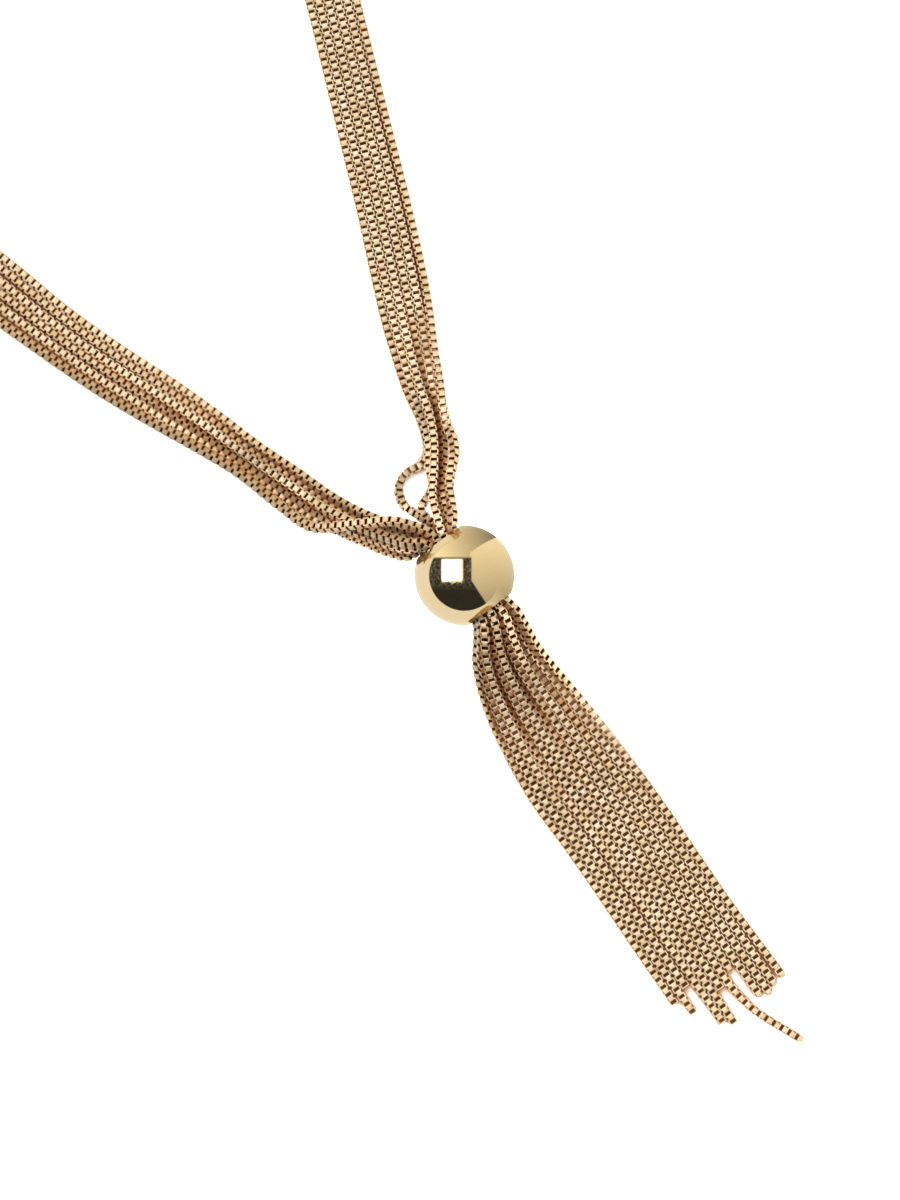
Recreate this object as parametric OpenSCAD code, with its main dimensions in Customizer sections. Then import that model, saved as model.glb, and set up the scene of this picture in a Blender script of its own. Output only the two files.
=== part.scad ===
// Lariat necklace: six continuous box chains that one drilled ball gathers into a neck loop and a tassel.
// It lies flat on a surface at z = 0. Lengths are in millimetres, and Y runs from the tassel to the neck.

/* [Box chain] */
// width of one box chain over its links
chain_w = 1.34; // [1:0.02:1.36]
// distance between the middles of two strands that lie side by side
strand_pitch = 1.48; // [1.46:0.01:1.6]
// number of flat sides of a strand
chain_sides = 8; // [8:4:12]
// longest step between two rings of a strand
ring_step = 10; // [6:1:10]

/* [Slider ball] */
// diameter of the polished ball
ball_d = 16; // [15:0.5:18]
// diameter of the hole that all strands run through
hole_d = 8.1; // [8:0.05:8.6]
// width of the flat ring round each mouth of the hole
rim_w = 0.12; // [0.05:0.01:0.4]
// distance from strand to strand across the hole
hole_lane = 0.52; // [0.5:0.01:0.54]
// distance from layer to layer in the hole
hole_layer = 1.45; // [1.42:0.01:1.48]

/* [Hidden] */
$fn = 72;
ball_r = ball_d / 2;
hole_r = hole_d / 2;
rim_r = hole_r + rim_w;
mouth_y = sqrt(ball_r * ball_r - rim_r * rim_r);
ground = chain_w / 2;
layer_count = 3;

// Lowest layer in the hole, as a height above a strand that lies on the surface.
hole_low = ball_r - hole_layer - ground;
// Two rows that keep the strands straight up to the mouth.
in_hole_y = 6;
out_hole_y = 7.2;

// Middle of the whole outline, which is moved to x = 0 and y = 0.
outline_mid_x = 7.5;
outline_mid_y = 60;

// Columns of the section tables. Every table starts at the ball, whose middle is at x = 0 and y = 0.
X = 0;         // middle of the bundle
Y = 1;
TURN = 2;      // direction of the bundle, in degrees from +Y towards -X
SPACING = 3;   // distance from lane to lane
HEIGHT = 4;    // how far the lowest layer is above lying on the surface
RISE = 5;      // height from layer to layer
SHIFT = 6;     // how far chains 2 to 6 have moved aside for chain 1, in lanes
LANE_1 = 7;    // lane of chain 1
LAYER_1 = 8;   // layer of chain 1

// Left bundle, out to the flat ribbon. Chain 1 crosses over the others from the far side.
left_sections = [
    [-3 * hole_lane, in_hole_y, 0, hole_lane, hole_low, hole_layer, 0.0, 2.5, 2.0],
    [-3 * hole_lane, out_hole_y, 0, hole_lane, hole_low, hole_layer, 0.0, 2.5, 2.0],
    [ -2.0,  8.3, 23, 0.67, 5.62, 1.60, 0.0,  2.5, 2.0],
    [ -3.5,  9.6, 43, 0.97, 5.05, 1.67, 0.0,  2.4, 2.1],
    [ -5.4, 12.1, 41, 1.08, 3.85, 1.57, 0.0,  2.1, 2.8],
    [ -7.7, 15.3, 36, 1.04, 2.40, 1.40, 0.2,  0.9, 3.2],
    [-10.0, 18.8, 31, 1.06, 1.10, 1.28, 0.5, -1.1, 3.1],
    [-12.0, 22.4, 26, 1.12, 0.35, 1.18, 0.8, -2.9, 2.0],
    [-14.0, 28.0, 21, 1.12, 0.00, 1.08, 1.0, -2.8, 1.2],
    [-16.4, 35.5, 18, 1.05, 0.00, 1.14, 1.0, -2.5, 1.0],
    [-18.9, 43.0, 20, 1.22, 0.00, 0.95, 1.0, -2.5, 1.0],
    [-21.5, 50.0, 20, 1.40, 0.00, 0.66, 1.0, -2.5, 1.0],
    [-25.6, 61.0, 20, 1.48, 0.00, 0.10, 1.0, -2.6, 1.0],
    [-29.1, 72.0, 16, 1.50, 0.00, 0.00, 1.0, -2.7, 0.0],
    [-31.4, 80.5, 15, 1.62, 0.00, 0.00, 1.0, -2.7, 0.0]
];

// Right bundle, out to the flat ribbon.
right_sections = [
    [3 * hole_lane, in_hole_y, 0, hole_lane, hole_low, hole_layer],
    [3 * hole_lane, out_hole_y, 0, hole_lane, hole_low, hole_layer],
    [  1.9,  8.3,  -8, 0.62, 5.70, 1.52],
    [  2.6,  9.9, -20, 0.80, 5.10, 1.64],
    [  3.9, 12.8, -31, 0.90, 3.80, 1.58],
    [  6.6, 16.2, -34, 0.74, 2.10, 1.60],
    [  9.3, 19.8, -30, 0.76, 0.85, 1.56],
    [ 11.3, 23.6, -23, 0.82, 0.20, 1.45],
    [ 12.9, 28.0, -22, 1.08, 0.00, 1.12],
    [ 15.2, 33.5, -24, 1.26, 0.00, 0.86],
    [ 17.4, 38.2, -24, 1.43, 0.00, 0.50],
    [ 19.7, 43.0, -24, 1.50, 0.00, 0.00],
    [ 25.2, 55.0, -24, 1.50, 0.00, 0.00],
    [ 29.9, 66.0, -23, 1.48, 0.00, 0.00]
];

// Way of the ribbon round the back of the neck, from the left bundle to the right one.
neck_sections = [
    [-36.4, 101],
    [-41.0, 125],
    [-42.5, 150],
    [-38.0, 175],
    [-25.0, 195],
    [ -5.0, 206],
    [ 17.0, 208],
    [ 38.0, 198],
    [ 52.0, 180],
    [ 57.5, 155],
    [ 54.0, 130],
    [ 47.0, 107],
    [ 38.5,  86]
];

// Tassel from the ball to where its strands hang apart.
tassel_sections = [
    [0, -in_hole_y, 0, hole_lane, hole_low, hole_layer],
    [0, -out_hole_y, 0, hole_lane, hole_low, hole_layer],
    [-0.5, -9.3, 0, 0.67, 5.15, 1.72],
    [-1.8,  -12, 0, 0.85, 4.00, 1.66],
    [-3.1,  -16, 0, 0.99, 2.25, 1.45],
    [-3.9,  -21, 0, 1.16, 0.60, 1.12],
    [-4.4,  -27, 0, 1.32, 0.00, 0.88],
    [-4.8,  -35, 0, 1.46, 0.00, 0.54],
    [-4.9,  -45, 0, 1.48, 0.00, 0.00],
    [-5.9,  -68, 0, 1.49, 0.00, 0.00]
];

// Free end of each strand of the tassel, from left to right.
tassel_ends = [
    [-14.4, -75.4],
    [-12.9, -78.4],
    [-11.3, -74.2],
    [-10.1, -82.4],
    [ -8.6, -83.6],
    [ -7.0, -77.8],
    [ -1.2, -93.2],
    [ -4.0, -76.6],
    [ -2.7, -83.2],
    [ -1.2, -84.0],
    [  0.3, -83.4],
    [  2.2, -82.8]
];
curled_strand = 7;
curl = [
    [-5.3, -73.0],
    [-5.5, -78.5],
    [-5.0, -83.0],
    [-4.0, -86.2],
    [-2.7, -89.4]
];

// Places where a strand of the right bundle leaves it near the ball: x, y and height above lying.
small_loop = [
    [ 0.3,  8.6, 5.60],
    [ 0.4, 10.0, 5.00],
    [ 0.2, 11.4, 4.20],
    [-0.2, 12.7, 3.40],
    [-0.8, 14.0, 2.70],
    [-0.9, 15.4, 2.00],
    [-0.5, 16.8, 1.40],
    [ 0.4, 17.9, 0.90],
    [ 1.7, 18.6, 0.50],
    [ 3.2, 18.7, 0.20],
    [ 4.9, 18.4, 0.00],
    [ 6.7, 18.9, 0.00],
    [ 8.1, 20.9, 0.00]
];
inner_kink = [
    [ 0.9,  9.3, 6.90],
    [ 0.6, 10.8, 6.60],
    [ 0.6, 12.1, 6.30],
    [ 1.3, 13.0, 5.90],
    [ 2.5, 13.5, 5.40],
    [ 3.8, 14.0, 4.90],
    [ 4.8, 15.0, 4.30]
];
outer_swing = [
    [ 3.6,  8.0, 8.80],
    [ 4.4,  9.0, 8.40],
    [ 5.6, 11.1, 7.40],
    [ 7.1, 13.3, 6.20],
    [ 9.1, 15.2, 5.10],
    [10.9, 17.0, 4.20],
    [11.8, 18.8, 3.60],
    [12.2, 20.6, 3.20]
];

function across(turn) = [cos(turn), sin(turn), 0];

// A strand's place in section s of a bundle.
function place(s, lane, layer) =
    [s[X], s[Y], ground + s[HEIGHT] + layer * s[RISE]] + lane * s[SPACING] * across(s[TURN]);

// A point of a strand at a height above lying on the surface.
function lifted(p, height) = [p[0], p[1], ground + height];

function turned_round(list) = [for (i = [len(list) - 1:-1:0]) list[i]];

function from_row(list, first) = [for (i = [first:len(list) - 1]) list[i]];

// Layer of lane 0, 1, 2 and so on: the lanes climb in threes.
function layer_of(lane) = lane % layer_count;

// Chain 1 is the outermost one of both bundles.
function left_bundle(chain) = [
    for (s = left_sections)
        chain == 1
            ? place(s, s[LANE_1], s[LAYER_1])
            : place(s, chain - 4.5 + s[SHIFT], layer_of(chain - 2))
];

function right_bundle(chain) = [
    for (s = right_sections) place(s, 3.5 - chain, layer_of(6 - chain))
];

function detour(list) = [for (p = list) lifted(p, p[2])];

function right_strand(chain) =
    let (
        whole = right_bundle(chain),
        in_hole = [whole[0], whole[1]]
    )
    chain == 1 ? concat(in_hole, detour(outer_swing), from_row(whole, 7))
    : chain == 5 ? concat(in_hole, detour(inner_kink), from_row(whole, 5))
    : chain == 6 ? concat(in_hole, detour(small_loop), from_row(whole, 7))
    : whole;

// Direction of the ribbon at row i of the way from a to b round the neck.
function neck_turn(way, i) =
    let (d = way[i + 1] - way[i - 1])
    atan2(-d[0], d[1]);

function neck_ribbon(chain) =
    let (
        last_left = left_sections[len(left_sections) - 1],
        last_right = right_sections[len(right_sections) - 1],
        way = concat([[last_left[X], last_left[Y]]], neck_sections, [[last_right[X], last_right[Y]]])
    )
    [
        for (i = [1:len(way) - 2])
            lifted(way[i], 0) + (chain - 3.5) * strand_pitch * across(neck_turn(way, i))
    ];

function tassel_strand(strand) =
    let (
        gathered = [for (s = tassel_sections) place(s, strand - 6.5, layer_of(strand - 1))],
        curled = strand == curled_strand ? [for (p = curl) lifted(p, 0)] : []
    )
    concat(gathered, curled, [lifted(tassel_ends[strand - 1], 0)]);

// Strand of the tassel that each chain's left and right end becomes.
function left_end(chain) = chain == 1 ? 6 : chain - 1;
function right_end(chain) = 13 - chain;

function route(chain) = concat(
    turned_round(tassel_strand(left_end(chain))),
    left_bundle(chain),
    neck_ribbon(chain),
    turned_round(right_strand(chain)),
    tassel_strand(right_end(chain))
);

// Slope of the smooth curve through p at point i.
function slope(p, i) =
    let (
        before = i > 0 ? p[i] - p[i - 1] : p[1] - p[0],
        after = i < len(p) - 1 ? p[i + 1] - p[i] : before,
        a = norm(before),
        b = norm(after)
    )
    (before * b / a + after * a / b) / (a + b);

function between(p, i, t) =
    let (
        d = norm(p[i + 1] - p[i]),
        t2 = t * t,
        t3 = t2 * t
    )
    (2 * t3 - 3 * t2 + 1) * p[i]
    + (t3 - 2 * t2 + t) * d * slope(p, i)
    + (3 * t2 - 2 * t3) * p[i + 1]
    + (t3 - t2) * d * slope(p, i + 1);

// No strand sinks into the surface where it comes down to it.
function above_surface(p) = [p[0], p[1], max(p[2], ground)];

function smooth(p) = concat(
    [
        for (i = [0:len(p) - 2])
            let (steps = ceil(norm(p[i + 1] - p[i]) / ring_step))
            for (s = [0:steps - 1]) above_surface(between(p, i, s / steps))
    ],
    [p[len(p) - 1]]
);

function unit(v) = v / norm(v);

// One ring of a strand: a flat-sided section that stands square to the curve with a flat underneath.
function ring(p, i) =
    let (
        ahead = unit(p[min(i + 1, len(p) - 1)] - p[max(i - 1, 0)]),
        side = unit(cross(ahead, [0, 0, 1])),
        up = cross(side, ahead),
        r = chain_w / 2 / cos(180 / chain_sides)
    )
    [
        for (k = [0:chain_sides - 1])
            let (a = (k + 0.5) * 360 / chain_sides)
            p[i] + r * cos(a) * side + r * sin(a) * up
    ];

module strand(points) {
    n = chain_sides;
    last = len(points) - 1;
    rings = [for (i = [0:last]) each ring(points, i)];
    sides = [
        for (i = [0:last - 1], k = [0:n - 1])
            let (next = (k + 1) % n)
            each [
                [i * n + k, (i + 1) * n + next, (i + 1) * n + k],
                [i * n + k, i * n + next, (i + 1) * n + next]
            ]
    ];
    start_cap = [for (k = [n - 1:-1:0]) k];
    end_cap = [for (k = [0:n - 1]) last * n + k];
    polyhedron(points = rings, faces = concat(sides, [start_cap, end_cap]));
}

module chain(number) {
    color([0.86, 0.68, 0.45])
        translate([-outline_mid_x, -outline_mid_y, 0])
            strand(smooth(route(number)));
}

// A solid ball, cut flat at both mouths of its hole.
module slider_ball() {
    color([0.84, 0.74, 0.52])
        translate([-outline_mid_x, -outline_mid_y, ball_r])
            rotate([-90, 0, 0])
                rotate_extrude()
                    difference() {
                        intersection() {
                            circle(r = ball_r);
                            translate([0, -mouth_y])
                                square([ball_r, 2 * mouth_y]);
                        }
                        translate([0, -ball_r])
                            square([hole_r, ball_d]);
                    }
}

slider_ball();
chain(1);  // chain_1
chain(2);  // chain_2
chain(3);  // chain_3
chain(4);  // chain_4
chain(5);  // chain_5
chain(6);  // chain_6
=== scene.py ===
"""Looks of the lariat necklace: box chains of single links, a polished slider ball and a studio."""
import math

import bpy
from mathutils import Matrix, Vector


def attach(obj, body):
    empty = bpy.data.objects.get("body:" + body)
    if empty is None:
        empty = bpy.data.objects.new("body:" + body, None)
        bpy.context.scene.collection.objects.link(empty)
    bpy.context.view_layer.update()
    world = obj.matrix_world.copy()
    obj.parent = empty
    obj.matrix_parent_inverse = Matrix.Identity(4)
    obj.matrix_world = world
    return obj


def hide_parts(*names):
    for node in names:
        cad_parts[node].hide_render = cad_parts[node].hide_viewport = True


MM = 0.001

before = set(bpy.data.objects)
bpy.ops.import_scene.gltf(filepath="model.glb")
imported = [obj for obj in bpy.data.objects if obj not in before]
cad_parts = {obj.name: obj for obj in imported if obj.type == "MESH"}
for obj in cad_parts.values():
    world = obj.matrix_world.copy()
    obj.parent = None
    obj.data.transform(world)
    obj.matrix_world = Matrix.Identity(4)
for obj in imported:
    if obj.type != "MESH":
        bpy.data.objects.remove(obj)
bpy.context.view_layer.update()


# Camera: straight down, with the neck loop running off at the top left.
PICTURE_MIDDLE = (-11.7 * MM, -61.75 * MM)
PICTURE_TURN = math.radians(-37.0)
PICTURE_HEIGHT = 192.93 * MM
CAMERA_HEIGHT = 1.6
SENSOR_HEIGHT = 24.0
NEAREST, FARTHEST = 0.01, 50.0


def put_camera():
    bpy.ops.object.camera_add(
        location=(PICTURE_MIDDLE[0], PICTURE_MIDDLE[1], CAMERA_HEIGHT), rotation=(0, 0, PICTURE_TURN)
    )
    camera = bpy.context.object
    camera.name = "camera"
    lens = camera.data
    lens.sensor_fit = "VERTICAL"
    lens.sensor_height = SENSOR_HEIGHT
    lens.lens = SENSOR_HEIGHT * CAMERA_HEIGHT / PICTURE_HEIGHT
    lens.clip_start = NEAREST
    lens.clip_end = FARTHEST
    bpy.context.scene.camera = camera


# Sizes, in millimetres, as in the part's source.
CHAIN_W = 1.34
GROUND = CHAIN_W / 2
STRAND_PITCH = 1.48
BALL_R = 8.0
HOLE_R = 4.05
RIM_W = 0.12
RIM_R = HOLE_R + RIM_W
MOUTH_Y = math.sqrt(BALL_R ** 2 - RIM_R ** 2)
HOLE_LANE = 0.52
HOLE_LAYER = 1.45
# Lowest layer in the hole, as a height above a strand that lies on the surface.
HOLE_LOW = BALL_R - HOLE_LAYER - GROUND
# Two rows that keep the strands straight up to the mouth.
IN_HOLE_Y = 6.0
OUT_HOLE_Y = 7.2
HOLE_ROWS = 2
# Middle of the whole outline, which is moved to x = 0 and y = 0.
OUTLINE_MIDDLE = Vector((7.5, 60.0, 0.0))

CHAINS = 6
MIDDLE_CHAIN = (CHAINS + 1) / 2
STRANDS = 2 * CHAINS
MIDDLE_STRAND = (STRANDS + 1) / 2
LAYERS = 3

# Columns of the section tables. Every table starts at the ball, whose middle is at x = 0 and y = 0.
X = 0         # middle of the bundle
Y = 1
TURN = 2      # direction of the bundle, in degrees from +Y towards -X
SPACING = 3   # distance from lane to lane
HEIGHT = 4    # how far the lowest layer is above lying on the surface
RISE = 5      # height from layer to layer
SHIFT = 6     # how far chains 2 to 6 have moved aside for chain 1, in lanes
LANE_1 = 7    # lane of chain 1
LAYER_1 = 8   # layer of chain 1

# Left bundle, out to the flat ribbon. Chain 1 crosses over the others from the far side.
LEFT_SECTIONS = [
    (-3 * HOLE_LANE, IN_HOLE_Y, 0, HOLE_LANE, HOLE_LOW, HOLE_LAYER, 0.0, 2.5, 2.0),
    (-3 * HOLE_LANE, OUT_HOLE_Y, 0, HOLE_LANE, HOLE_LOW, HOLE_LAYER, 0.0, 2.5, 2.0),
    (-2.0, 8.3, 23, 0.67, 5.62, 1.6, 0.0, 2.5, 2.0),
    (-3.5, 9.6, 43, 0.97, 5.05, 1.67, 0.0, 2.4, 2.1),
    (-5.4, 12.1, 41, 1.08, 3.85, 1.57, 0.0, 2.1, 2.8),
    (-7.7, 15.3, 36, 1.04, 2.4, 1.4, 0.2, 0.9, 3.2),
    (-10.0, 18.8, 31, 1.06, 1.1, 1.28, 0.5, -1.1, 3.1),
    (-12.0, 22.4, 26, 1.12, 0.35, 1.18, 0.8, -2.9, 2.0),
    (-14.0, 28.0, 21, 1.12, 0.0, 1.08, 1.0, -2.8, 1.2),
    (-16.4, 35.5, 18, 1.05, 0.0, 1.14, 1.0, -2.5, 1.0),
    (-18.9, 43.0, 20, 1.22, 0.0, 0.95, 1.0, -2.5, 1.0),
    (-21.5, 50.0, 20, 1.4, 0.0, 0.66, 1.0, -2.5, 1.0),
    (-25.6, 61.0, 20, 1.48, 0.0, 0.1, 1.0, -2.6, 1.0),
    (-29.1, 72.0, 16, 1.5, 0.0, 0.0, 1.0, -2.7, 0.0),
    (-31.4, 80.5, 15, 1.62, 0.0, 0.0, 1.0, -2.7, 0.0),
]
RIGHT_SECTIONS = [
    (3 * HOLE_LANE, IN_HOLE_Y, 0, HOLE_LANE, HOLE_LOW, HOLE_LAYER),
    (3 * HOLE_LANE, OUT_HOLE_Y, 0, HOLE_LANE, HOLE_LOW, HOLE_LAYER),
    (1.9, 8.3, -8, 0.62, 5.7, 1.52),
    (2.6, 9.9, -20, 0.8, 5.1, 1.64),
    (3.9, 12.8, -31, 0.9, 3.8, 1.58),
    (6.6, 16.2, -34, 0.74, 2.1, 1.6),
    (9.3, 19.8, -30, 0.76, 0.85, 1.56),
    (11.3, 23.6, -23, 0.82, 0.2, 1.45),
    (12.9, 28.0, -22, 1.08, 0.0, 1.12),
    (15.2, 33.5, -24, 1.26, 0.0, 0.86),
    (17.4, 38.2, -24, 1.43, 0.0, 0.5),
    (19.7, 43.0, -24, 1.5, 0.0, 0.0),
    (25.2, 55.0, -24, 1.5, 0.0, 0.0),
    (29.9, 66.0, -23, 1.48, 0.0, 0.0),
]
# Middle of the ribbon that lies round the neck, from the left bundle to the right one.
NECK_SECTIONS = [
    (-36.4, 101), (-41.0, 125), (-42.5, 150), (-38.0, 175), (-25.0, 195), (-5.0, 206),
    (17.0, 208), (38.0, 198), (52.0, 180), (57.5, 155), (54.0, 130), (47.0, 107),
    (38.5, 86),
]
TASSEL_SECTIONS = [
    (0, -IN_HOLE_Y, 0, HOLE_LANE, HOLE_LOW, HOLE_LAYER),
    (0, -OUT_HOLE_Y, 0, HOLE_LANE, HOLE_LOW, HOLE_LAYER),
    (-0.5, -9.3, 0, 0.67, 5.15, 1.72),
    (-1.8, -12, 0, 0.85, 4.0, 1.66),
    (-3.1, -16, 0, 0.99, 2.25, 1.45),
    (-3.9, -21, 0, 1.16, 0.6, 1.12),
    (-4.4, -27, 0, 1.32, 0.0, 0.88),
    (-4.8, -35, 0, 1.46, 0.0, 0.54),
    (-4.9, -45, 0, 1.48, 0.0, 0.0),
    (-5.9, -68, 0, 1.49, 0.0, 0.0),
]
# Free end of each tassel strand.
TASSEL_ENDS = [
    (-14.4, -75.4), (-12.9, -78.4), (-11.3, -74.2), (-10.1, -82.4), (-8.6, -83.6), (-7.0, -77.8),
    (-1.2, -93.2), (-4.0, -76.6), (-2.7, -83.2), (-1.2, -84.0), (0.3, -83.4), (2.2, -82.8),
]
CURLED_STRAND = 7
CURL = [(-5.3, -73.0), (-5.5, -78.5), (-5.0, -83.0), (-4.0, -86.2), (-2.7, -89.4)]

# Places where a strand of the right bundle leaves it near the ball: x, y and height above lying.
SMALL_LOOP = [
    (0.3, 8.6, 5.6), (0.4, 10.0, 5.0), (0.2, 11.4, 4.2), (-0.2, 12.7, 3.4), (-0.8, 14.0, 2.7),
    (-0.9, 15.4, 2.0), (-0.5, 16.8, 1.4), (0.4, 17.9, 0.9), (1.7, 18.6, 0.5), (3.2, 18.7, 0.2),
    (4.9, 18.4, 0.0), (6.7, 18.9, 0.0), (8.1, 20.9, 0.0),
]
INNER_KINK = [
    (0.9, 9.3, 6.9), (0.6, 10.8, 6.6), (0.6, 12.1, 6.3), (1.3, 13.0, 5.9), (2.5, 13.5, 5.4),
    (3.8, 14.0, 4.9), (4.8, 15.0, 4.3),
]
OUTER_SWING = [
    (3.6, 8.0, 8.8), (4.4, 9.0, 8.4), (5.6, 11.1, 7.4), (7.1, 13.3, 6.2), (9.1, 15.2, 5.1),
    (10.9, 17.0, 4.2), (11.8, 18.8, 3.6), (12.2, 20.6, 3.2),
]
# Each such chain's way, and the row of the bundle's table at which it is back in the bundle.
DETOURS = {1: (OUTER_SWING, 7), 5: (INNER_KINK, 5), 6: (SMALL_LOOP, 7)}


# Routes of the chains.
def across(turn):
    """Direction across a bundle, from lane to lane."""
    return Vector((math.cos(math.radians(turn)), math.sin(math.radians(turn)), 0))


def place(section, lane, layer):
    """A strand's place in a section of a bundle."""
    middle = Vector((section[X], section[Y], GROUND + section[HEIGHT] + layer * section[RISE]))
    return middle + lane * section[SPACING] * across(section[TURN])


def lifted(point, height=0.0):
    """A point of a strand at a height above lying on the surface."""
    return Vector((point[0], point[1], GROUND + height))


def left_bundle(chain):
    """A chain's points in the left bundle, from the ball outwards."""
    if chain == 1:
        return [place(s, s[LANE_1], s[LAYER_1]) for s in LEFT_SECTIONS]
    return [place(s, chain - 1 - MIDDLE_CHAIN + s[SHIFT], (chain - 2) % LAYERS) for s in LEFT_SECTIONS]


def right_strand(chain):
    """A chain's points in the right bundle, from the ball outwards, with its own way near the ball."""
    whole = [place(s, MIDDLE_CHAIN - chain, (CHAINS - chain) % LAYERS) for s in RIGHT_SECTIONS]
    if chain not in DETOURS:
        return whole
    detour, back_at = DETOURS[chain]
    return whole[:HOLE_ROWS] + [lifted(p, p[2]) for p in detour] + whole[back_at:]


def neck_ribbon(chain):
    """A chain's points in the flat ribbon round the neck."""
    way = [LEFT_SECTIONS[-1][:2], *NECK_SECTIONS, RIGHT_SECTIONS[-1][:2]]
    ribbon = []
    for before, here, after in zip(way, way[1:], way[2:]):
        turn = math.degrees(math.atan2(before[0] - after[0], after[1] - before[1]))
        ribbon.append(lifted(here) + (chain - MIDDLE_CHAIN) * STRAND_PITCH * across(turn))
    return ribbon


def tassel_strand(strand):
    """Points of one strand of the tassel, from the ball to its free end."""
    gathered = [place(s, strand - MIDDLE_STRAND, (strand - 1) % LAYERS) for s in TASSEL_SECTIONS]
    curled = [lifted(p) for p in CURL] if strand == CURLED_STRAND else []
    return gathered + curled + [lifted(TASSEL_ENDS[strand - 1])]


def left_end(chain):
    """Strand of the tassel that the chain's left end becomes."""
    return CHAINS if chain == 1 else chain - 1


def right_end(chain):
    """Strand of the tassel that the chain's right end becomes."""
    return STRANDS + 1 - chain


def route(chain):
    """All points of a chain, from the free end of its left strand to that of its right one."""
    return (
        tassel_strand(left_end(chain))[::-1]
        + left_bundle(chain)
        + neck_ribbon(chain)
        + right_strand(chain)[::-1]
        + tassel_strand(right_end(chain))
    )


def slopes(points):
    """Slope of the smooth curve at each point, as the part's source works it out."""
    found = []
    for i, here in enumerate(points):
        before = here - points[i - 1] if i else points[1] - here
        after = points[i + 1] - here if i < len(points) - 1 else before
        a, b = before.length, after.length
        found.append((before * (b / a) + after * (a / b)) / (a + b))
    return found


def in_metres(point):
    """A point of the tables in the part's own frame."""
    return (point - OUTLINE_MIDDLE) * MM


# Ways to select and move what is modelled. A point that is less than a hair off a place, in millimetres,
# counts as being there.
HAIR = 0.01


def deselect():
    if bpy.context.object and bpy.context.object.mode != "OBJECT":
        bpy.ops.object.mode_set(mode="OBJECT")
    bpy.ops.object.select_all(action="DESELECT")


def pick(piece, kind, wanted):
    """Select the edges or faces whose corners pass a test, and stay in edit mode."""
    bpy.ops.mesh.select_mode(type=kind)
    bpy.ops.mesh.select_all(action="DESELECT")
    bpy.ops.object.mode_set(mode="OBJECT")
    points = piece.data.vertices
    for part in piece.data.edges if kind == "EDGE" else piece.data.polygons:
        part.select = wanted([points[v].co for v in part.vertices])
    bpy.ops.object.mode_set(mode="EDIT")


def move_mesh(offset):
    """Move the whole mesh of the active piece, whose object stays at the origin."""
    bpy.ops.object.mode_set(mode="EDIT")
    bpy.ops.mesh.select_all(action="SELECT")
    bpy.ops.transform.translate(value=offset)
    bpy.ops.object.mode_set(mode="OBJECT")


def turn_mesh():
    """Turn the whole mesh that is being edited a quarter round X."""
    bpy.ops.mesh.select_all(action="SELECT")
    bpy.ops.transform.rotate(value=math.pi / 2, orient_axis="X", center_override=(0, 0, 0))


def fuse(pieces):
    """Join pieces into the first of them."""
    deselect()
    for piece in pieces:
        piece.select_set(True)
    bpy.context.view_layer.objects.active = pieces[0]
    bpy.ops.object.join()
    return bpy.context.object


# One box link, in millimetres. A lying link has its hole upwards, a standing one sideways.
LINK_LENGTH = 1.00
LINK_WIDTH = 1.35
LINK_HEIGHT = 1.33
LYING_SHEET = 0.17
STANDING_SHEET = 0.13
LYING_BAND = 1.18
STANDING_BAND = 0.82
LINK_CORNER = 0.16
CORNER_STEPS = 2
# From one link to the next: the tassel is pulled straight, the loop lies slack.
TAUT_STEP = 0.72
SLACK_STEP = 0.66
# A face is a wall of the hole when its normal has less than this along the hole.
WALL_LEAN = 0.5
# A face is an end of the link when its normal has more than this along the chain.
END_LEAN = 0.8


def height_span(corners):
    heights = [p.z for p in corners]
    return max(heights) - min(heights)


def box_link(width, band, sheet):
    """A rectangular ring bent from a flat band, lying along X, with its hole along Z."""
    deselect()
    bpy.ops.mesh.primitive_cube_add(size=1, scale=(LINK_LENGTH * MM, width * MM, band * MM))
    link = bpy.context.object
    bpy.ops.object.transform_apply(location=False, rotation=False, scale=True)
    bpy.ops.object.mode_set(mode="EDIT")
    pick(link, "EDGE", lambda corners: height_span(corners) > HAIR * MM)
    bpy.ops.mesh.bevel(
        offset=LINK_CORNER * MM, offset_type="OFFSET", segments=CORNER_STEPS, affect="EDGES"
    )
    pick(link, "FACE", lambda corners: height_span(corners) < HAIR * MM)
    bpy.ops.mesh.inset(thickness=sheet * MM, depth=0)
    bpy.ops.mesh.bridge_edge_loops()
    bpy.ops.object.mode_set(mode="OBJECT")
    mark_hidden_walls(link)
    return link


def mark_hidden_walls(link):
    """Mark the walls of the hole and both ends of the link, where the next links would shade them; the
    material paints that shade on them as a dark colour.
    """
    shaded_walls = link.data.attributes.new("inner_wall", "FLOAT", "FACE")
    for face in link.data.polygons:
        inward = face.center.x * face.normal.x + face.center.y * face.normal.y < 0
        wall = inward and abs(face.normal.z) < WALL_LEAN
        shaded_walls.data[face.index].value = float(wall or abs(face.normal.x) > END_LEAN)


def link_pair(step):
    """Two links, the second a quarter turn round and one step on."""
    first = box_link(LINK_WIDTH, LYING_BAND, LYING_SHEET)
    second = box_link(LINK_HEIGHT, STANDING_BAND, STANDING_SHEET)
    bpy.ops.object.mode_set(mode="EDIT")
    turn_mesh()
    move_mesh((step * MM, 0, 0))
    pair = fuse([first, second])
    move_mesh((LINK_LENGTH / 2 * MM, 0, 0))
    return pair


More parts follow.
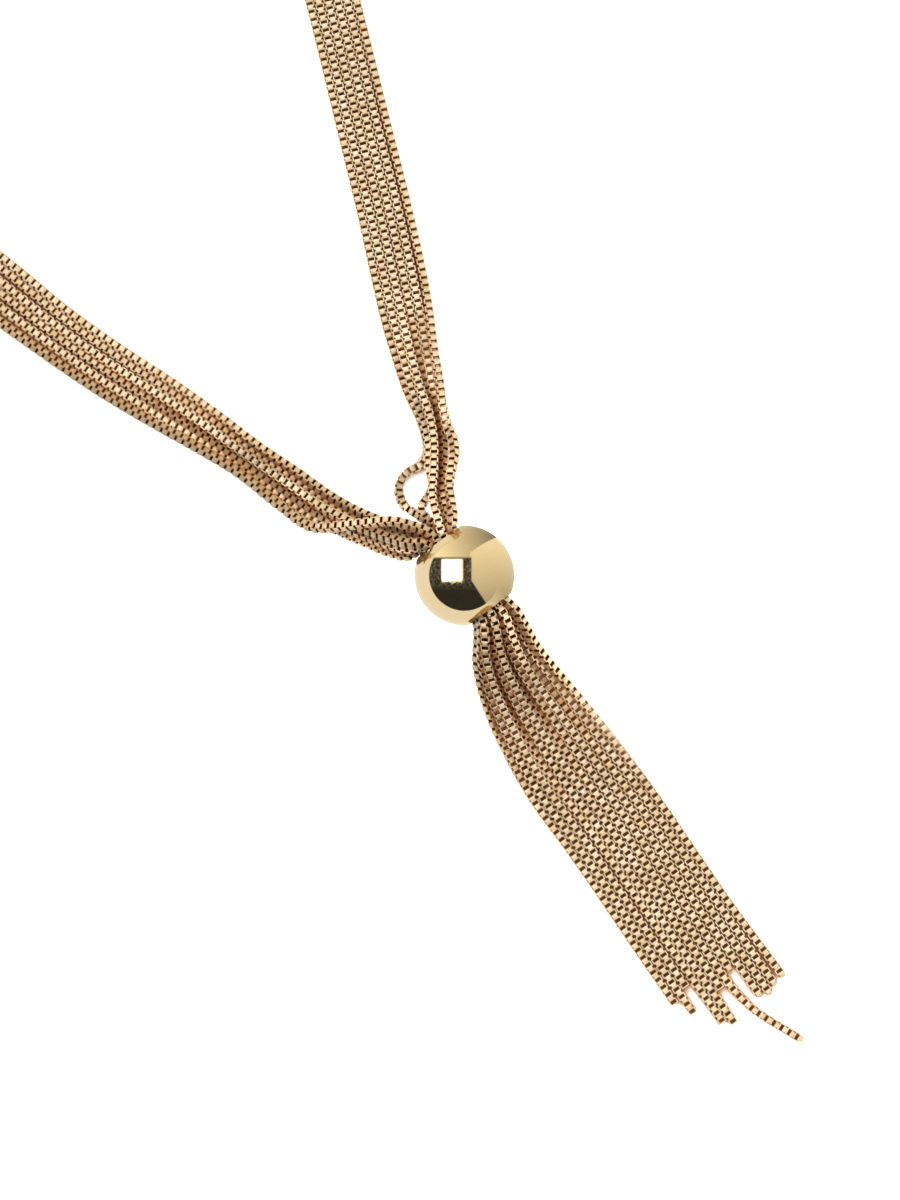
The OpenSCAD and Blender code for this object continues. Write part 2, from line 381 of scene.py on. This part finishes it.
# How far each strand is turned about its own length, in degrees. A table has a row for each strand of
# the tassel, or for each chain, and a column for every second point of the route, from the ball outwards.
COLUMN_POINTS = 2
TASSEL_ROLLS = [
    (50, 45, 30, 0),
    (25, 12, 0, 0),
    (-15, -8, 4, 0),
    (10, 30, 38, 12),
    (-12, -6, 0, 0),
    (8, 3, -8, 0),
    (-38, -45, -40, 0),
    (12, 8, -5, 0),
    (-22, -12, 6, 0),
    (10, 5, 0, 0),
    (-12, -20, -8, 0),
    (-45, -45, -30, 0),
]
LEFT_ROLLS = [
    (30, 45, 20, 30, 45, 45, 42, 40),
    (42, 30, 12, 0, 0, 8, 12, 12),
    (-15, 8, 25, 45, 45, 30, 24, 22),
    (45, 45, 40, 20, -18, 10, 8, 8),
    (-10, 6, 15, -10, 6, 15, 20, 20),
    (15, 35, 45, 42, 30, 12, 5, 5),
]
RIGHT_ROLLS = [
    (-45, -45, 10, 45, 30, -14, -16),
    (12, -8, 45, 45, -8, 5, 0),
    (-14, 10, -10, 0, 8, 0, 4),
    (20, 8, 12, -8, 0, 6, 0),
    (-40, -30, 14, -10, 10, 45, 5),
    (0, 25, 15, -20, -10, 8, 0),
]


def roll_at(rolls, point):
    """Roll at a point of the route, counted from the ball."""
    column = max(0.0, (point - 1) / COLUMN_POINTS)
    before = min(int(column), len(rolls) - 1)
    after = min(before + 1, len(rolls) - 1)
    return rolls[before] + (rolls[after] - rolls[before]) * (column - int(column))


def rolls_along(rolls, points):
    return [roll_at(rolls, i) for i in range(len(points))]


def chain_rolls(chain):
    """Roll of the links at each point of a chain's route, in radians."""
    left, right = left_end(chain), right_end(chain)
    rolls = rolls_along(TASSEL_ROLLS[left - 1], tassel_strand(left))[::-1]
    rolls += rolls_along(LEFT_ROLLS[chain - 1], LEFT_SECTIONS)
    rolls += [0.0] * len(NECK_SECTIONS)
    rolls += rolls_along(RIGHT_ROLLS[chain - 1], right_strand(chain))[::-1]
    rolls += rolls_along(TASSEL_ROLLS[right - 1], tassel_strand(right))
    return [math.radians(roll) for roll in rolls]


# Room under the links, because they dip a little where a strand rolls over.
LINK_ROOM = 0.013
# Steps of a chain's curve from point to point.
CURVE_STEPS = 16
# A free end has no neighbour to set the length of its outer handle.
FREE_HANDLE = 1.0
SMOOTH_LINK = math.radians(50)


def middle_height(roll):
    """Height of the middle of a chain that lies on the surface, turned about its own length."""
    side, top = abs(math.sin(roll)), math.cos(roll)
    lying = LINK_WIDTH * side + LYING_BAND * top
    standing = STANDING_BAND * side + LINK_HEIGHT * top
    return max(lying, standing) / 2 + LINK_ROOM


def chain_path(chain):
    """The chain's middle line as a curve through the points of its route, and the curve's length."""
    rolls = chain_rolls(chain)
    points = [Vector((p.x, p.y, max(p.z, middle_height(roll)))) for p, roll in zip(route(chain), rolls)]
    curve = bpy.data.curves.new(f"path_{chain}", "CURVE")
    curve.dimensions = "3D"
    curve.twist_mode = "Z_UP"
    curve.resolution_u = CURVE_STEPS
    spline = curve.splines.new("BEZIER")
    spline.bezier_points.add(len(points) - 1)
    for i, (knot, here, along) in enumerate(zip(spline.bezier_points, points, slopes(points))):
        before = (here - points[i - 1]).length if i else FREE_HANDLE
        after = (points[i + 1] - here).length if i < len(points) - 1 else FREE_HANDLE
        back, ahead = here - along * before / 3, here + along * after / 3
        lowest = middle_height(rolls[i])
        back.z, ahead.z = max(back.z, lowest), max(ahead.z, lowest)
        knot.handle_left_type = knot.handle_right_type = "FREE"
        knot.co, knot.handle_left, knot.handle_right = in_metres(here), in_metres(back), in_metres(ahead)
        knot.tilt = rolls[i]
    path = bpy.data.objects.new(f"path_{chain}", curve)
    bpy.context.scene.collection.objects.link(path)
    return path, spline.calc_length()


def link_row(pair, step, start, end):
    """Pairs of links in a straight row along X, as many as fit between two places, and where it ends."""
    deselect()
    pair.select_set(True)
    bpy.context.view_layer.objects.active = pair
    bpy.ops.object.duplicate()
    piece = bpy.context.object
    row = piece.modifiers.new("row", "ARRAY")
    row.use_relative_offset = False
    row.use_constant_offset = True
    row.constant_offset_displace = (2 * step * MM, 0, 0)
    row.count = int((end - start) / (2 * step * MM))
    reached = start + row.count * 2 * step * MM
    bpy.ops.object.modifier_apply(modifier="row")
    move_mesh((start, 0, 0))
    return piece, reached


def strand_length(strand):
    """Length of a tassel strand, from its free end to the ball's middle."""
    points = tassel_strand(strand)
    return (sum((b - a).length for a, b in zip(points, points[1:])) + IN_HOLE_Y) * MM


def box_chain(chain, taut_pair, slack_pair, finish):
    """A whole chain: rows of links for its two tassel strands and its loop, bent along its path."""
    path, length = chain_path(chain)
    loop_start = strand_length(left_end(chain))
    loop_end = length - strand_length(right_end(chain))
    first, reached = link_row(taut_pair, TAUT_STEP, 0.0, loop_start)
    loop, reached = link_row(slack_pair, SLACK_STEP, reached, loop_end)
    last, reached = link_row(taut_pair, TAUT_STEP, reached, length)
    piece = fuse([first, loop, last])
    piece.name = piece.data.name = f"box_chain_{chain}"
    bend = piece.modifiers.new("bend", "CURVE")
    bend.object = path
    bend.deform_axis = "POS_X"
    bpy.ops.object.modifier_apply(modifier="bend")
    bpy.ops.object.shade_smooth_by_angle(angle=SMOOTH_LINK)
    bpy.data.objects.remove(path)
    piece.data.materials.clear()
    piece.data.materials.append(finish)
    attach(piece, "root")
    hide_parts(f"chain_{chain}")
    return piece


# The slider ball.
BALL_SEGMENTS, BALL_RINGS = 96, 72
ROUNDING = 0.09
ROUNDING_STEPS = 3
SMOOTH_BALL = math.radians(40)


def off_axis(point):
    """Distance from the axis of the ball's hole."""
    return math.hypot(point.x, point.z)


def at_mouth(point):
    return abs(point.y) > (MOUTH_Y - HAIR) * MM


def polished_ball(finish):
    """A sphere with its poles on the hole's axis, cut flat at both mouths and drilled through."""
    deselect()
    bpy.ops.mesh.primitive_uv_sphere_add(segments=BALL_SEGMENTS, ring_count=BALL_RINGS, radius=BALL_R * MM)
    ball = bpy.context.object
    ball.name = ball.data.name = "slider_ball_polished"
    bpy.ops.object.mode_set(mode="EDIT")
    turn_mesh()
    for side in (-1, 1):
        bpy.ops.mesh.select_all(action="SELECT")
        bpy.ops.mesh.bisect(plane_co=(0, side * MOUTH_Y * MM, 0), plane_no=(0, side, 0), clear_outer=True)
    narrow = HOLE_R / RIM_R
    for side in (-1, 1):
        pick(ball, "EDGE", lambda corners: all(at_mouth(p) and p.y * side > 0 for p in corners))
        bpy.ops.mesh.extrude_edges_move()
        bpy.ops.transform.resize(value=(narrow, 1, narrow), center_override=(0, side * MOUTH_Y * MM, 0))
    pick(ball, "EDGE", lambda corners: all(off_axis(p) < (HOLE_R + HAIR) * MM for p in corners))
    bpy.ops.mesh.bridge_edge_loops()
    bpy.ops.mesh.select_all(action="SELECT")
    bpy.ops.mesh.normals_make_consistent(inside=False)
    outer_rim = (RIM_R - HAIR) * MM
    pick(ball, "EDGE", lambda corners: all(at_mouth(p) and off_axis(p) > outer_rim for p in corners))
    bpy.ops.mesh.bevel(offset=ROUNDING * MM, offset_type="OFFSET", segments=ROUNDING_STEPS, affect="EDGES")
    move_mesh(in_metres(Vector((0, 0, BALL_R))))
    bpy.ops.object.shade_smooth_by_angle(angle=SMOOTH_BALL)
    ball.data.materials.append(finish)
    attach(ball, "root")
    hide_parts("slider_ball")


# Ways to add and join the nodes of materials and of the studio.
class Nodes:
    """The nodes of a material or of the world, which are joined as they are added."""

    # Sockets of a mix node that are for colours. Their names are shared with those for numbers.
    MIX_SHARE, MIX_FIRST, MIX_SECOND, MIX_RESULT = 0, 6, 7, 2

    def __init__(self, owner):
        owner.use_nodes = True
        self.all = owner.node_tree.nodes
        self.link = owner.node_tree.links.new

    def wire(self, value, socket):
        """Give an input a value, or join another node's output to it."""
        if isinstance(value, bpy.types.NodeSocket):
            self.link(value, socket)
        else:
            socket.default_value = value

    def add(self, kind, **values):
        """A new node. A name with a capital is one of its inputs, any other one of its settings."""
        node = self.all.new(f"ShaderNode{kind}")
        for name, value in values.items():
            if name[0].isupper():
                self.wire(value, node.inputs[name.replace("_", " ")])
            else:
                setattr(node, name, value)
        return node

    def calc(self, operation, a, b=0.0, clamp=False):
        node = self.add("Math", operation=operation, use_clamp=clamp)
        self.wire(a, node.inputs[0])
        self.wire(b, node.inputs[1])
        return node.outputs["Value"]

    def noise(self, where, scale, detail, roughness=0.5):
        speckle = self.add("TexNoise", Vector=where, Scale=scale, Detail=detail, Roughness=roughness)
        return speckle.outputs["Fac"]

    def open_share(self, width, samples, low, high):
        """How open a place is to its surroundings: 0 up to low, and 1 from high on."""
        covered = self.add("AmbientOcclusion", samples=samples, Distance=width).outputs["AO"]
        return self.add("MapRange", Value=covered, From_Min=low, From_Max=high).outputs["Result"]

    def spread(self, value, low, high):
        """A value from 0 to 1, spread from low to high."""
        return self.add("MapRange", Value=value, To_Min=low, To_Max=high).outputs["Result"]

    def mix(self, share, first, second):
        """The first colour where the share is 0, the second where it is 1."""
        node = self.add("Mix", data_type="RGBA")
        self.wire(share, node.inputs[self.MIX_SHARE])
        self.wire(first, node.inputs[self.MIX_FIRST])
        self.wire(second, node.inputs[self.MIX_SECOND])
        return node.outputs[self.MIX_RESULT]

    def ramp(self, value, *stops):
        """A colour that changes from stop to stop. A stop is a place and a colour."""
        node = self.add("ValToRGB", Fac=value)
        for element, (position, colour) in zip(node.color_ramp.elements, stops):
            element.position, element.color = position, colour
        return node.outputs["Color"]


# Finishes. The gold's tone drifts in patches between two tones, each a place in the noise and a colour,
# and the links have a fine grain.
CHAIN_TONES = (0.35, (0.79, 0.61, 0.395, 1)), (0.65, (0.95, 0.795, 0.60, 1))
CHAIN_ROUGHNESS = 0.54, 0.66
CHAIN_DRIFT, CHAIN_GRAIN = 420.0, 2500.0
# painted shade: dark brown for the walls of each link's hole and its ends, in place of the shade of the
# next links
PAINTED_HOLE_SHADE = (0.38, 0.155, 0.026, 1)
# painted bounce light and shade: a deeper orange gold for crevices between links
PAINTED_BOUNCE_GOLD = (0.80, 0.46, 0.20, 1)
CREVICE_WIDTH = 1.6 * MM
BALL_TONES = (0.3, (0.80, 0.64, 0.38, 1)), (0.7, (0.84, 0.69, 0.43, 1))
BALL_ROUGHNESS = 0.04, 0.09
BALL_DRIFT = 180.0


def metal(name):
    """A metal with its nodes, the shader's inputs and the place on the piece."""
    material = bpy.data.materials.new(name)
    nodes = Nodes(material)
    surface = nodes.all["Principled BSDF"].inputs
    surface["Metallic"].default_value = 1.0
    return material, nodes, surface, nodes.add("TexCoord").outputs["Object"]


def chain_gold():
    material, nodes, surface, where = metal("chain_gold")
    drift = nodes.noise(where, CHAIN_DRIFT, detail=3.0, roughness=0.72)
    # painted bounce light and shade: where little is open around a link, as in the crevices between
    # neighbouring links, its gold is painted a deeper orange
    open_side = nodes.open_share(CREVICE_WIDTH, samples=6, low=0.2, high=0.85)
    outer = nodes.mix(open_side, PAINTED_BOUNCE_GOLD, nodes.ramp(drift, *CHAIN_TONES))
    # painted shade on the walls of the holes and the ends of the links
    shaded_walls = nodes.add("Attribute", attribute_name="inner_wall").outputs["Fac"]
    nodes.wire(nodes.mix(shaded_walls, outer, PAINTED_HOLE_SHADE), surface["Base Color"])
    grain = nodes.noise(where, CHAIN_GRAIN, detail=2.0)
    nodes.wire(nodes.spread(grain, *CHAIN_ROUGHNESS), surface["Roughness"])
    return material


def ball_gold():
    material, nodes, surface, where = metal("ball_gold")
    drift = nodes.noise(where, BALL_DRIFT, detail=3.0)
    nodes.wire(nodes.ramp(drift, *BALL_TONES), surface["Base Color"])
    nodes.wire(nodes.spread(drift, *BALL_ROUGHNESS), surface["Roughness"])
    return material


# Floor: white in the open, with a painted brown shadow where chains lie over it.
FLOOR_SIZE = 6
FLOOR_LEVEL = -0.1 * MM
FLOOR_ROUGHNESS = 0.9
WHITE_CARD = (0.92, 0.92, 0.92, 1)
# painted shadow: the brown that the floor gets under and right beside the chains
PAINTED_SHADOW_CARD = (0.23, 0.11, 0.04, 1)
SHADE_WIDTH = 5 * MM


def pale_floor():
    deselect()
    bpy.ops.mesh.primitive_plane_add(size=FLOOR_SIZE, location=(0, 0, FLOOR_LEVEL))
    floor = bpy.context.object
    floor.name = "floor"
    material = bpy.data.materials.new("white_card")
    nodes = Nodes(material)
    surface = nodes.all["Principled BSDF"].inputs
    surface["Roughness"].default_value = FLOOR_ROUGHNESS
    # painted shadow, from how much of the floor is open above
    open_above = nodes.open_share(SHADE_WIDTH, samples=8, low=0.46, high=0.56)
    nodes.wire(nodes.mix(open_above, PAINTED_SHADOW_CARD, WHITE_CARD), surface["Base Color"])
    floor.data.materials.append(material)
    floor.visible_glossy = False


# Fill lamp, low beyond the tassel.
FILL_PLACE = (0.55, -0.95, 0.42)
FILL_AIM = Vector((0, -0.07, 0))
FILL_SIZE = 0.7
FILL_WATTS = 6


def fill_light(chains):
    """A soft lamp that lights the chains and leaves the ball to the studio."""
    bpy.ops.object.light_add(type="AREA", location=FILL_PLACE)
    lamp = bpy.context.object
    lamp.name = "fill"
    lamp.data.size = FILL_SIZE
    lamp.data.energy = FILL_WATTS
    lamp.rotation_euler = (FILL_AIM - lamp.location).to_track_quat("-Z", "Y").to_euler()
    lit_chains = bpy.data.collections.new("lit_chains")
    for piece in chains:
        lit_chains.objects.link(piece)
    lamp.light_linking.receiver_collection = lit_chains


# Studio. Places are given on a mirror ball as the camera sees it, where right and up run from -1 to 1.
# An edge is a place and half the width over which it fades. A slope is a value at the middle of the ball
# and its changes to the right and upwards.
TABLE_LIGHT = 3.3
HORIZON = (0.0, 0.012)
TABLE_SHADE = (-0.98, 0.01)
TABLE_SIDE = (0.0, 1.0, 0.8)
TABLE_SIDE_EDGE = (0.22, 0.3)
LIT_TABLE, SHADED_TABLE = 0.84, 0.12

SOFTBOX = 2.75
SOFTBOX_LEFT = (-0.45, 0.02)
SOFTBOX_RIGHT = (-0.05, 0.035)
SOFTBOX_LOW = (-0.11, 0.045)
SOFTBOX_TOP = (0.32, 0.02)
RAGGED_LOW, RAGGED_RIGHT = 0.16, 0.3
SPECK_SCALE = 26.0

ROOM = 0.045
ROOM_TOP = (0.36, 0.02)
ROOM_RIGHT, ROOM_RIGHT_FADE = 0.14, 0.012
ROOM_CORNER = (0.075, 0.0, -0.65)
GLINTS = 0.22
GLINTS_LOW = (-0.2, 0.1)
GLINTS_SPECK = (0.55, 0.05)

CARD = (0.72, -0.08, 0.38)
CEILING = (0.80, -0.62, -0.2)
CEILING_EDGE, CEILING_FADE = 0.36, 0.015
CEILING_BEND = (0.115, 0.005)
BEND_RISE, BEND_SAG = 0.85, 0.35

CREAM_LIGHT = (1.0, 0.95, 0.84, 1)
WHITE_LIGHT = (1.0, 1.0, 1.0, 1)
# Numbers of bounces, as edges: a ray that is mirrored more than once, or scattered at least once.
MIRRORED_AGAIN = (1.5, 0.1)
SCATTERED = (0.5, 0.1)


class Studio(Nodes):
    """The world's nodes, with masks that are 1 inside an area and 0 outside it."""

    def __init__(self, world):
        super().__init__(world)
        seen = self.add("TexCoord").outputs["Generated"]
        self.level = self.add("SeparateXYZ", Vector=seen).outputs["Z"]
        self.facing = self.vector("NORMALIZE", self.vector("ADD", seen, (0, 0, 1)))
        c, s = math.cos(PICTURE_TURN), math.sin(PICTURE_TURN)
        self.right = self.vector("DOT_PRODUCT", self.facing, (c, s, 0))
        self.up = self.vector("DOT_PRODUCT", self.facing, (-s, c, 0))

    def vector(self, operation, a, b=(0, 0, 0)):
        node = self.add("VectorMath", operation=operation)
        self.wire(a, node.inputs[0])
        self.wire(b, node.inputs[1])
        return node.outputs["Value" if operation == "DOT_PRODUCT" else "Vector"]

    def slope(self, middle, to_right, to_up):
        """A value that changes evenly across the mirror ball."""
        sideways = self.calc("ADD", self.calc("MULTIPLY", self.right, to_right), middle)
        return self.calc("ADD", self.calc("MULTIPLY", self.up, to_up), sideways)

    def past(self, value, edge):
        """0 before the edge and 1 past it."""
        position, fade = edge
        ratio = self.calc("DIVIDE", self.calc("SUBTRACT", value, position), 2 * fade)
        return self.calc("ADD", ratio, 0.5, clamp=True)

    def outside(self, mask):
        return self.calc("SUBTRACT", 1.0, mask)

    def short_of(self, value, edge):
        return self.outside(self.past(value, edge))

    def both(self, *masks):
        """Where all masks are 1. A number among them scales the rest."""
        found = masks[0]
        for mask in masks[1:]:
            found = self.calc("MULTIPLY", found, mask)
        return found

    def either(self, *masks):
        """Where one of the masks is 1, or the largest of some values."""
        found = masks[0]
        for mask in masks[1:]:
            found = self.calc("MAXIMUM", found, mask)
        return found

    def blend(self, mask, within, beyond):
        """within where the mask is 1, beyond where it is 0."""
        return self.calc("ADD", self.both(mask, within), self.both(self.outside(mask), beyond))

    def softbox(self, ragged):
        """A softbox near the zenith, whose right and lower edges are ragged."""
        return self.both(
            self.past(self.right, SOFTBOX_LEFT),
            self.short_of(self.calc("ADD", self.right, self.both(ragged, RAGGED_RIGHT)), SOFTBOX_RIGHT),
            self.past(self.calc("ADD", self.up, ragged), SOFTBOX_LOW),
            self.short_of(self.up, SOFTBOX_TOP),
        )

    def room(self, above):
        """A dark room to the lower left."""
        right_end = self.either(self.slope(*ROOM_CORNER), ROOM_RIGHT)
        return self.both(
            self.short_of(self.up, ROOM_TOP), self.short_of(self.right, (right_end, ROOM_RIGHT_FADE)), above
        )

    def ceiling(self):
        """The upper part, down to an edge that bends and climbs to the right."""
        climb = self.both(self.right, self.calc("SUBTRACT", BEND_RISE, self.both(self.right, BEND_SAG)))
        edge = self.calc("ADD", self.both(climb, self.past(self.right, CEILING_BEND)), CEILING_EDGE)
        return self.past(self.up, (edge, CEILING_FADE))


def light_studio():
    """Softbox near the zenith, white card overhead and to the right, dark room to the lower left."""
    view = bpy.context.scene.view_settings
    view.view_transform = "Standard"
    view.look = "Medium High Contrast"
    world = bpy.data.worlds.new("studio")
    world.cycles.sampling_method = "NONE"
    bpy.context.scene.world = world

    sky = Studio(world)
    above = sky.past(sky.level, HORIZON)
    below = sky.outside(above)
    unshaded = sky.past(sky.level, TABLE_SHADE)
    lit_table = sky.both(below, unshaded, sky.short_of(sky.slope(*TABLE_SIDE), TABLE_SIDE_EDGE))
    speck = sky.noise(sky.facing, SPECK_SCALE, detail=3.0, roughness=0.7)
    softbox = sky.softbox(ragged=sky.both(sky.calc("SUBTRACT", speck, 0.5), RAGGED_LOW))
    room = sky.room(above)
    glints = sky.both(sky.past(sky.up, GLINTS_LOW), sky.past(speck, GLINTS_SPECK), room, GLINTS)

    cards = sky.blend(sky.ceiling(), sky.slope(*CEILING), sky.slope(*CARD))
    light = sky.blend(room, sky.calc("ADD", glints, ROOM), cards)
    light = sky.blend(lit_table, LIT_TABLE, light)
    # light that has met more than one surface finds the shaded table under the chains
    ray = sky.add("LightPath").outputs
    again = sky.past(ray["Glossy Depth"], MIRRORED_AGAIN)
    light = sky.blend(sky.both(below, sky.either(again, sky.outside(unshaded))), SHADED_TABLE, light)
    light = sky.blend(softbox, SOFTBOX, light)
    # the table is lit evenly and more than the jewel, as a retouched background is
    from_table = sky.past(ray["Diffuse Depth"], SCATTERED)
    off_chain = sky.both(above, sky.outside(again), TABLE_LIGHT)
    light = sky.blend(from_table, sky.blend(ray["Is Diffuse Ray"], TABLE_LIGHT, off_chain), light)

    colour = sky.mix(sky.either(lit_table, softbox, room, from_table), CREAM_LIGHT, WHITE_LIGHT)
    back = sky.all["Background"].inputs
    sky.wire(colour, back["Color"])
    sky.wire(light, back["Strength"])


put_camera()
taut_pair, slack_pair = link_pair(TAUT_STEP), link_pair(SLACK_STEP)
strand_gold = chain_gold()
box_chains = [box_chain(number, taut_pair, slack_pair, strand_gold) for number in range(1, CHAINS + 1)]
for pair in (taut_pair, slack_pair):
    bpy.data.objects.remove(pair)
polished_ball(ball_gold())
pale_floor()
fill_light(box_chains)
light_studio()
